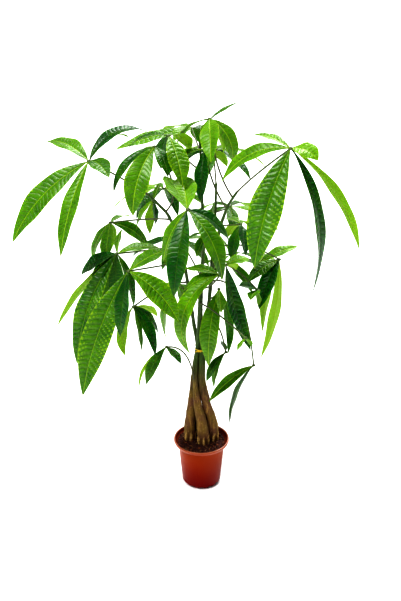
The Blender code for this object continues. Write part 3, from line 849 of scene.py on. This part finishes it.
def make_trunk(name, tree, turn):
    points, radii = ROUTES[name]
    thick = [r * MM for r in radii]
    points = list(points)
    edges = chain(points)
    if name in STUBS:
        height, heading, length = STUBS[name]
        centre, _, radius = on_trunk(name, height)
        out = Vector((math.cos(math.radians(heading)), math.sin(math.radians(heading)), STUB_RISE))
        edges.append((len(points), len(points) + 1))
        points += [centre, centre + out.normalized() * (radius + length)]
        thick += [radius * STUB_THICKNESS * MM] * 2
    guide = guide_mesh(name + "_guide", points, edges, thick=thick)
    piece = grown(name.replace("trunk", "stem"), guide, tree, {"Turn": turn})
    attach(piece, "root")
    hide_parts(name)
    return piece


trunk_tree = make_trunk_tree()
for i, name in enumerate(TRUNK_NAMES):
    piece = make_trunk(name, trunk_tree, float(i))
    print(piece.name, len(piece.data.polygons), "faces")

# %% [markdown]
# ## Compound leaves
# A leaf is a stalk, a hub and a hand of leaflets. A leaflet is one rule: its midrib is an arc that
# starts at a pitch and droops evenly, so its run and rise are differences of sines and cosines.
# Each leaflet starts as the same flat grid. One direction of the grid runs along the midrib and
# the other goes once round the blade, over the top and back under it, so the blade is a closed
# skin with a thin edge. The leaflets of a hand are instances of that grid on a guide mesh that has
# one point for each leaflet, and every point carries the leaflet's own numbers.

# %% Leaf tree
LEAF_RING = 28
LEAF_STEP = 2.0
LEAFLET_START = 1.0  # how far from the middle of the hub a leaflet begins
STEM_HALF_WIDTH = 0.9  # of a leaflet, where its blade narrows to a stem
BLADE_HALF = 0.2  # half the thickness of a blade
STEM_EXTRA = 0.8  # and what its stem adds
VEINS_LEAST = 4
VEINS_PER_METRE = 83
QUILT_PART = 0.10  # height of the bulges between veins, as a part of the half width
QUILT_MOST = 2.4
WAVES = 17  # of the margin, in radians along a leaflet
WAVE_PART = 0.06
SWAY_PART = 0.07  # how far a leaflet curves sideways, as a part of its length
STALK_RING = 14
STALK_STEPS = 30
STALK_DEPTH = 1.5  # how far a stalk starts inside the bark
STALK_SLIMMER = 0.2  # than the solid model's
HUB_FLATNESS = 0.75


def make_leaflets(tree):
    """The hand of leaflets, as closed blades round the hub."""
    flat = tree.node("GeometryNodeInputPosition")
    sheet = tree.node(
        "GeometryNodeMeshGrid", None,
        {"Size X": 1.0, "Size Y": 1.0, "Vertices X": tree.given("Steps"), "Vertices Y": LEAF_RING + 1},
    )
    sheet = tree.store(sheet, "along", flat.axis("X") + 0.5)
    sheet = tree.store(sheet, "round", flat.axis("Y") + 0.5)
    hand = tree.real(tree.copies(tree.given("Geometry"), sheet))

    labels = "along round heading pitch droop roll length width tone puff".split()
    along, round_, heading, pitch, droop, roll, length, width, tone, puff = map(tree.named, labels)
    lane = 1 - abs(round_ - 0.5) * 4
    across = lane * (abs(lane) * 0.6 + 0.4)
    away = abs(across)
    top = 1 - round_.above(0.5) * 2

    slope = pitch - droop * along
    run = (pitch.sin() - slope.sin()) * length / droop + LEAFLET_START * MM
    rise = (slope.cos() - pitch.cos()) * length / droop
    outward = tree.vector(heading.cos(), heading.sin(), 0.0)
    side = tree.vector(-1 * heading.sin(), heading.cos(), 0.0)
    tangent = outward * slope.cos() + tree.vector(0.0, 0.0, slope.sin())
    tilt = roll + (tone - 0.5) * along * 0.5
    sideways = side * tilt.cos() + tangent.cross(side) * tilt.sin()
    face = tangent.cross(sideways)

    ends = along.ramp(0.0, 0.005) * (1 - along.ramp(0.995, 1.0))
    outline = (along ** 1.05 * math.pi).sin().at_least(0.0) ** 0.95
    half = (outline * width * 0.5).at_least(STEM_HALF_WIDTH * MM) * ends
    from_rib = away * half
    rib = (1 - from_rib.ramp(0.0003, 0.0016)) * (1 - along * 0.7) * ends
    stem = 1 - (along * length).ramp(0.003, 0.014)
    thick = (BLADE_HALF * MM + stem * (STEM_EXTRA * MM)) * ends * (1 - away ** 4)

    slant = from_rib * (0.18 + away * 0.3) / length
    patch = tree.vector(along * 9, tone * 40 + lane * 1.2, tree.given("Seed"))
    jitter = tree.noise(patch, 1.0, 1.0) * 1.6
    veins = (along - slant) * (length * VEINS_PER_METRE + VEINS_LEAST)
    veins = veins + jitter + across.ramp(-0.04, 0.04) * 0.5
    quilt_room = from_rib.ramp(0.0006, 0.004) * (1 - away.ramp(0.82, 1.0) * 0.8)
    quilt = abs((veins * math.pi).sin()) * quilt_room
    quilt = quilt * (half * QUILT_PART).at_most(QUILT_MOST * MM) * puff
    wave = (along * WAVES + tone * 30 + tree.given("Seed") + lane.ramp(-0.5, 0.5) * 2).sin() * away ** 2
    lift = from_rib * FOLD + quilt + wave * half * WAVE_PART + thick * top
    lift = lift - rib * (0.0006 - top * 0.0003)
    sway = (tone - 0.5) * SWAY_PART * length * along ** 2
    place = tree.given("Hub") + outward * run + tree.vector(0.0, 0.0, rise)
    place = place + side * sway + sideways * (across * half) + face * lift
    for label, value in (("across", across), ("rib", from_rib * 1000), ("veins", veins)):
        hand = tree.store(hand, label, value)
    hand = tree.store(hand, "under", (0.5 - round_) * 100, "FACE")
    return tree.weld(tree.node("GeometryNodeSetPosition", None, {"Geometry": hand, "Position": place}))


def make_stalk(tree):
    """An arched stalk, swollen where it meets the shoot, and the hub at its other end."""
    ends = {"Start": tree.given("Start"), "Middle": tree.given("Bend"), "End": tree.given("Hub")}
    line = tree.node("GeometryNodeCurveQuadraticBezier", None, {"Resolution": STALK_STEPS, **ends})
    part = tree.node("GeometryNodeSplineParameter", out="Factor")
    swell = 1 - part.ramp(0.0, 0.08) * 0.7 + part.ramp(0.93, 1.0) * 0.3
    thick = (swell * (STALK_BASE_RADIUS - STALK_RADIUS) + STALK_RADIUS - STALK_SLIMMER) * MM
    line = tree.store(tree.store(line, "along", part), "thick", thick)
    stalk = tree.sweep(line, tree.ring(STALK_RING), tree.named("thick"))
    ball = tree.node("GeometryNodeMeshIcoSphere", None, {"Radius": HUB_RADIUS * MM, "Subdivisions": 3})
    ball = tree.node(
        "GeometryNodeTransform", None,
        {"Geometry": ball, "Translation": tree.given("Hub"), "Scale": (1.0, 1.0, HUB_FLATNESS)},
    )
    return tree.join(stalk, tree.store(ball, "along", 1.0))


def make_leaf_tree():
    points = {"Start": "Vector", "Bend": "Vector", "Hub": "Vector"}
    tree = GeometryTree("compound_leaf", {**points, "Steps": "Int", "Seed": "Float"})
    blades = tree.paint(make_leaflets(tree), leaf_blade)
    stalk = tree.paint(make_stalk(tree), leaf_stalk)
    tree.finish(tree.join(blades, stalk))
    return tree


leaf_tree = make_leaf_tree()
print("leaf tree:", len(leaf_tree.tree.nodes), "nodes")

# %% [markdown]
# ### Growing each leaf
# Each leaf takes its numbers from the table. A stalk leaves the shoot square to the bark and
# starts a little inside it, so no gap shows. Leaves at the back follow one rule for their
# leaflets, which spread evenly round the hub.

# %% Grow the leaves
def even_leaflets(count, first, longest):
    """Leaflets spread evenly round a hub, from the longest down to the shortest opposite it."""
    spread = []
    for i in range(count):
        heading = first + 360 * i / count
        away = (1 - math.cos(math.tau * i / count)) / 2
        length = longest * (1 - (1 - BACK_SHORTEST) * away)
        spread.append((heading, BACK_PITCH, BACK_DROOP, 0, length, length * BACK_WIDTH_RATIO))
    return spread


def stalk_points(name, trunk, height, hub):
    """Where a stalk starts inside the bark, and the point that bends it."""
    centre, along, radius = on_trunk(trunk, height)
    if height is None:
        start = centre
        reach = (hub - start).length
        return start, start.lerp(hub, TIP_BEND) + UP * (TIP_ARCH * reach)
    out = hub - centre
    out = (out - along * out.dot(along)).normalized()
    start = centre + out * radius
    reach = (hub - start).length
    side, arch = STEEP_STALKS.get(name, (SIDE_REACH, SIDE_ARCH))
    return start - out * STALK_DEPTH, start + out * (side * reach) + UP * (arch * reach)


def puffs(name, count, rng):
    """How much the blade of each leaflet bulges between its side veins."""
    strong = PUFFED.get(name, ())
    return [1.0 if i in strong else rng.uniform(0.1, 0.45) for i in range(count)]


def make_leaf(name, trunk, height, hub, leaflets):
    rng = random.Random(name)
    hub = Vector(hub)
    start, bend = stalk_points(name, trunk, height, hub)
    turns = {label: [] for label in ("heading", "pitch", "droop", "roll")}
    for leaflet in leaflets:
        for label, value in zip(turns, leaflet):
            turns[label].append(math.radians(value))
    guide = guide_mesh(
        name + "_guide", [(0, 0, 0)] * len(leaflets), **turns,
        length=[leaflet[4] * MM for leaflet in leaflets],
        width=[leaflet[5] * MM for leaflet in leaflets],
        tone=TONES_AND_SHADE.get(name) or [rng.uniform(0.05, 0.85) for _ in leaflets],
        puff=puffs(name, len(leaflets), rng),
    )
    steps = round(max(leaflet[4] for leaflet in leaflets) / LEAF_STEP)
    values = {
        "Start": tuple(start * MM), "Bend": tuple(bend * MM), "Hub": tuple(hub * MM),
        "Steps": steps, "Seed": rng.uniform(0.0, 10.0),
    }
    piece = grown(name.replace("leaf", "hand"), guide, leaf_tree, values)
    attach(piece, "root")
    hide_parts(name)
    return piece


# How pale each leaflet is, from 0 (dark) to 1 (yellow-green), on the near leaves: partly its own age
# and colour, partly painted shade on leaflets that stand in shadow and painted sheen on glossy ones.
TONES_AND_SHADE = {
    "leaf_far_left": (0.45, 0.55, 0.55, 0.10, 0.25, 0.35),
    "leaf_top_left": (0.60, 0.05, 0.45, 0.20),
    "leaf_top_left_front": (0.55, 0.15, 0.20, 0.30),
    "leaf_top": (0.20, 0.75, 0.70, 0.30, 0.30, 0.60),
    "leaf_top_front": (0.02, 0.80, 0.40),
    "leaf_far_right": (0.60, 0.65, 0.36, 0.02, 0.40, 1.00),
    "leaf_right_back": (0.75, 0.70, 0.30),
    "leaf_right": (0.40, 0.03, 0.50, 0.45, 0.30),
    "leaf_front_right": (0.06, 0.90, 0.50),
    "leaf_front_low": (0.75, 0.60, 0.60),
    "leaf_middle_right": (0.05, 0.20, 0.60, 0.50, 0.80),
    "leaf_front": (0.85, 0.80, 0.55, 0.12, 0.40, 0.10),
    "leaf_left_upper": (0.45, 0.50, 0.45, 0.50, 0.30),
    "leaf_left_inner": (0.95, 0.10, 0.90, 0.50),
    "leaf_left": (0.50, 0.08, 0.30, 0.25, 0.50, 0.85, 0.05, 0.15, 0.10),
    "leaf_left_front": (0.50, 0.60, 0.36, 0.06),
    "leaf_left_lower": (0.03, 0.05, 0.70, 0.30, 0.75),
    "leaf_low_left": (0.25, 0.20, 0.60),
    "leaf_low_middle": (0.60, 0.10, 0.80),
    "leaf_low_right": (0.20, 0.35, 0.20),
    "leaf_hanging": (0.55, 0.15),
    "leaf_right_inner": (0.05, 0.60, 0.20),
}
# Leaflets whose blade bulges strongly between its side veins.
PUFFED = {
    "leaf_far_right": (2,), "leaf_top_left": (0,), "leaf_left_front": (1, 2), "leaf_left": (2,),
}
faces = 0
for name, (trunk, height, hub, leaflets) in LEAVES.items():
    faces += len(make_leaf(name, trunk, height, hub, leaflets).data.polygons)
for name, (trunk, height, hub, *rule) in BACK_LEAVES.items():
    faces += len(make_leaf(name, trunk, height, hub, even_leaflets(*rule)).data.polygons)
print(len(LEAVES) + len(BACK_LEAVES), "leaves,", faces, "faces")

# %% [markdown]
# ## Pot
# The pot is a thin moulded cup: its outline runs from the middle of its underside, up outside and
# down inside, is rounded at every corner and swept round a circle. Slots are then cut under its
# lower edge, where water drains. The slots repeat, so they are one block placed by the tree on a
# circle of points and taken away in one Boolean. The plug of potting mix is turned the same way.

# %% Turned bodies
TURN_RADIUS = 20.0  # of the circle that an outline is swept round


def outline_mesh(name, outline):
    """A guide for a turned body, from the radius and height of each point."""
    points = [(radius - TURN_RADIUS, -height, 0.0) for radius, height in outline]
    return guide_mesh(name, points, chain(points))


def turned(tree, line, sides):
    """A line swept round the upright axis, closed where it meets the axis."""
    return tree.weld(tree.sweep(tree.ring(sides, TURN_RADIUS * MM), line, 1.0))


print("turned bodies ready")

# %% Pot
POT_RING = 160
EDGE_ROUND = 1.1
NOTCH_REACH = 34.0  # a slot's block reaches this far outwards, well past the foot


def make_pot():
    tree = GeometryTree("pot", {})
    line = tree.node(
        "GeometryNodeFilletCurve", {"mode": "POLY"},
        {"Curve": tree.guide_line(), "Count": 5, "Radius": EDGE_ROUND * MM, "Limit Radius": True},
    )
    cup = turned(tree, line, POT_RING)
    circle = {"Vertices": NOTCHES, "Radius": NOTCH_INNER_RADIUS * MM}
    spots = tree.node("GeometryNodeMeshCircle", None, circle)
    place = tree.node("GeometryNodeInputPosition")
    angle = tree.node("FunctionNodeAlignRotationToVector", {"axis": "X"}, {"Vector": place})
    size = (NOTCH_REACH * MM, NOTCH_WIDTH * MM, NOTCH_HEIGHT * 2 * MM)
    block = tree.node("GeometryNodeMeshCube", None, {"Size": size})
    outwards = {"Geometry": block, "Translation": (NOTCH_REACH / 2 * MM, 0.0, 0.0)}
    block = tree.node("GeometryNodeTransform", None, outwards)
    blocks = tree.real(tree.copies(spots, block, Rotation=angle))
    cut = tree.node(
        "GeometryNodeMeshBoolean", {"operation": "DIFFERENCE", "solver": "EXACT"},
        {"Mesh 1": cup, "Mesh 2": [blocks]},
    )
    tree.finish(tree.paint(cut, pot_plastic))
    piece = grown("nursery_pot", outline_mesh("pot_guide", POT_OUTLINE), tree, {})
    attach(piece, "root")
    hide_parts("pot")
    return piece


POT_OUTLINE = (
    (0, 0), (FOOT_RADIUS, 0), (HEEL_RADIUS, HEEL_HEIGHT), (NECK_RADIUS, LIP_BOTTOM - 3),
    (LIP_RADIUS - 3.5, LIP_BOTTOM + 1), (LIP_RADIUS - 1.6, LIP_BOTTOM), (LIP_RADIUS, POT_HEIGHT - 2),
    (LIP_RADIUS - 1, POT_HEIGHT), (LIP_RADIUS - 3, POT_HEIGHT), (LIP_RADIUS - 4.5, POT_HEIGHT - 2),
    (LIP_RADIUS - 5.5, LIP_BOTTOM + 2.6), (NECK_RADIUS - WALL, LIP_BOTTOM - 2),
    (HEEL_RADIUS - WALL, HEEL_HEIGHT), (FOOT_RADIUS - WALL, WALL), (0, WALL),
)
pot = make_pot()
print(pot.name, len(pot.data.polygons), "faces")

# %% [markdown]
# ## Potting mix
# The mix is a turned plug with an uneven top. Its crumbs are scattered by the tree on the top
# faces: rounded grains, flat bark chips and thin fibres. A seed fixes where they fall.

# %% Potting mix
MIX_RELIEF = 7.0  # of the uneven top
MIX_GAP = 0.5  # between the mix and the wall of the pot
MIX_FLOOR = 0.4  # and between the mix and the bottom
TOP_RINGS = 9
PLUG_SIDES = 48
SPIN = 3.0  # radians either way
# points for each square metre, smallest and largest size (mm), proportions, tilt (radians), kinds
CRUMBS = (
    (80000.0, 0.6, 2.0, (1.0, 0.9, 0.8), SPIN, (0.0, 0.84)),
    (22000.0, 1.6, 4.2, (1.0, 0.7, 0.35), SPIN, (0.0, 0.84)),
    (14000.0, 2.5, 6.0, (1.0, 0.09, 0.07), 0.5, (0.75, 1.0)),
)


def make_mix():
    tree = GeometryTree("mix", {"Seed": "Int"})
    position = tree.node("GeometryNodeInputPosition")
    top = position.axis("Z").above((SOIL_TOP - 1.5) * MM)
    rough = (tree.noise(position, 110.0, 4.0, 0.65) - 0.5) * (MIX_RELIEF * MM) * top
    plug = turned(tree, tree.guide_line(), PLUG_SIDES)
    plug = tree.node("GeometryNodeSubdivideMesh", None, {"Mesh": plug, "Level": 2})
    plug = tree.store(tree.move(plug, tree.vector(0.0, 0.0, rough)), "kind", 0.0)
    pieces = [plug]
    for i, (density, low, high, shape, tilt, kinds) in enumerate(CRUMBS):
        grain = tree.node("GeometryNodeMeshIcoSphere", None, {"Radius": 1.0, "Subdivisions": 1})
        bumpy = position * (tree.noise(position, 1.6) * 0.9 + 0.5) * shape
        grain = tree.node("GeometryNodeSetPosition", None, {"Geometry": grain, "Position": bumpy})
        spots = tree.node(
            "GeometryNodeDistributePointsOnFaces", None,
            {"Mesh": plug, "Selection": top, "Density": density, "Seed": tree.given("Seed") + i},
        )
        turn = tree.random((-tilt, -tilt, -SPIN), (tilt, tilt, SPIN), i)
        size = tree.random(low * MM, high * MM, i + 10)
        spots = tree.store(spots, "kind", tree.random(*kinds, i + 20))
        pieces.append(tree.copies(spots, grain, Rotation=turn, Scale=size))
    tree.finish(tree.paint(tree.join(*pieces), potting_mix))
    return tree


def mix_outline():
    bottom = WALL + MIX_FLOOR
    neck = NECK_RADIUS - WALL - MIX_GAP
    heel = HEEL_RADIUS - WALL - MIX_GAP
    outline = [
        (0, bottom), (heel - 5, bottom), (heel, HEEL_HEIGHT + 1.5), (neck, LIP_BOTTOM - 2),
        (SOIL_EDGE, SOIL_TOP - 1),
    ]
    return outline + [(SOIL_EDGE * (1 - i / TOP_RINGS), SOIL_TOP) for i in range(1, TOP_RINGS + 1)]


mix = grown("potting_mix_top", outline_mesh("mix_guide", mix_outline()), make_mix(), {"Seed": 3})
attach(mix, "root")
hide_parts("soil")
print(mix.name, len(mix.data.polygons), "faces")

# %% [markdown]
# ## Tie
# One turn of thin wire sags a little in front of the bundle, and its ends cross there.

# %% Tie
WIRE_STEPS = 90
WIRE_RING = 16
WIRE_FINENESS = 0.6  # length of one step of the finished wire
TIE_SPREAD = 0.6  # how far the ends stand off the bundle
TIE_CLIMB = 4  # wire radii that the turn climbs, so that it passes itself
FIRST_TAIL_DROP = 0.5  # of the first free end, for each unit along it
LAST_TAIL_RISE = 0.2


def tie_points():
    """Points round the bundle, with the two free ends."""
    lean = BUNDLE[-1][-1]
    points = []
    start = math.radians(FRONT_ANGLE - 180 * TIE_OVERLAP)
    for i in range(WIRE_STEPS + 1):
        part = i / WIRE_STEPS
        angle = start + math.tau * (1 + TIE_OVERLAP) * part
        front = max(0.0, -math.sin(angle))
        height = TIE_HEIGHT - TIE_SAG * front + (part - 0.5) * TIE_CLIMB * WIRE_RADIUS
        radius = TIE_RADIUS + TIE_SPREAD * abs(part - 0.5)
        points.append(Vector((lean + radius * math.cos(angle), radius * math.sin(angle), height)))
    first = (points[0] - points[1]).normalized() - UP * FIRST_TAIL_DROP
    last = (points[-1] - points[-2]).normalized() + UP * LAST_TAIL_RISE
    points.insert(0, points[0] + first.normalized() * TIE_TAIL)
    points.append(points[-1] + last.normalized() * TIE_TAIL)
    return points


def make_tie():
    tree = GeometryTree("tie", {})
    line = tree.even_steps(tree.guide_line(), WIRE_FINENESS * MM)
    wire = tree.sweep(line, tree.ring(WIRE_RING), WIRE_RADIUS * MM)
    tree.finish(tree.paint(wire, gilt_wire))
    points = tie_points()
    piece = grown("wire_tie", guide_mesh("tie_guide", points, chain(points)), tree, {})
    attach(piece, "root")
    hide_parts("stem_tie")
    return piece


tie = make_tie()
print(tie.name, len(tie.data.polygons), "faces")

# %% [markdown]
# ## Studio
# The plant stands on a white floor under soft light: a white world, a broad key light from above
# and the left, and a broad light from above and behind, which makes the glossy leaves shine. The
# camera looks down on it from the front.

# %% Floor, light and camera
FLOOR_REACH = 40.0
FLOOR_DARK = (0.93, 0.93, 0.93)
FLOOR_PALE = (0.96, 0.96, 0.96)
WORLD_STRENGTH = 0.25
CAMERA_PLACE = (-0.002, -1.541, 1.149)
CAMERA_PITCH = 65.3  # degrees up from straight down
CAMERA_LENS = 50.0


def make_floor():
    mesh = bpy.data.meshes.new("floor")
    corners = [(x * FLOOR_REACH, y * FLOOR_REACH, 0.0) for x, y in ((-1, -1), (1, -1), (1, 1), (-1, 1))]
    mesh.from_pydata(corners, [], [(0, 1, 2, 3)])
    floor = add_object("floor", mesh)
    look = Finish("floor_white")
    grain = look.noise(look.place, 3.0)
    colour = look.mix(grain, FLOOR_DARK, FLOOR_PALE)
    mesh.materials.append(look.show(colour, grain * 0.1 + 0.8))


def make_light(name, place, spread, power):
    """A sun that shines from a place towards the pot."""
    data = bpy.data.lights.new(name, "SUN")
    data.angle = math.radians(spread)
    data.energy = power
    light = add_object(name, data)
    light.location = place
    light.rotation_euler = (-Vector(place)).to_track_quat("-Z", "Y").to_euler()


def make_world():
    world = bpy.data.worlds.new("studio")
    world.use_nodes = True
    background = world.node_tree.nodes["Background"]
    background.inputs["Color"].default_value = (1.0, 1.0, 1.0, 1.0)
    background.inputs["Strength"].default_value = WORLD_STRENGTH
    bpy.context.scene.world = world


def make_camera():
    camera = add_object("camera", bpy.data.cameras.new("camera"))
    camera.location = CAMERA_PLACE
    camera.rotation_euler = (math.radians(CAMERA_PITCH), 0.0, 0.0)
    camera.data.lens = CAMERA_LENS
    bpy.context.scene.camera = camera


make_floor()
make_world()
make_light("key_light", (-1.0, -0.7, 2.2), 25.0, 2.6)
make_light("back_light", (0.6, 1.6, 1.8), 35.0, 2.4)
make_camera()
bpy.context.scene.view_settings.view_transform = "Standard"
bpy.context.scene.view_settings.look = "Very High Contrast"
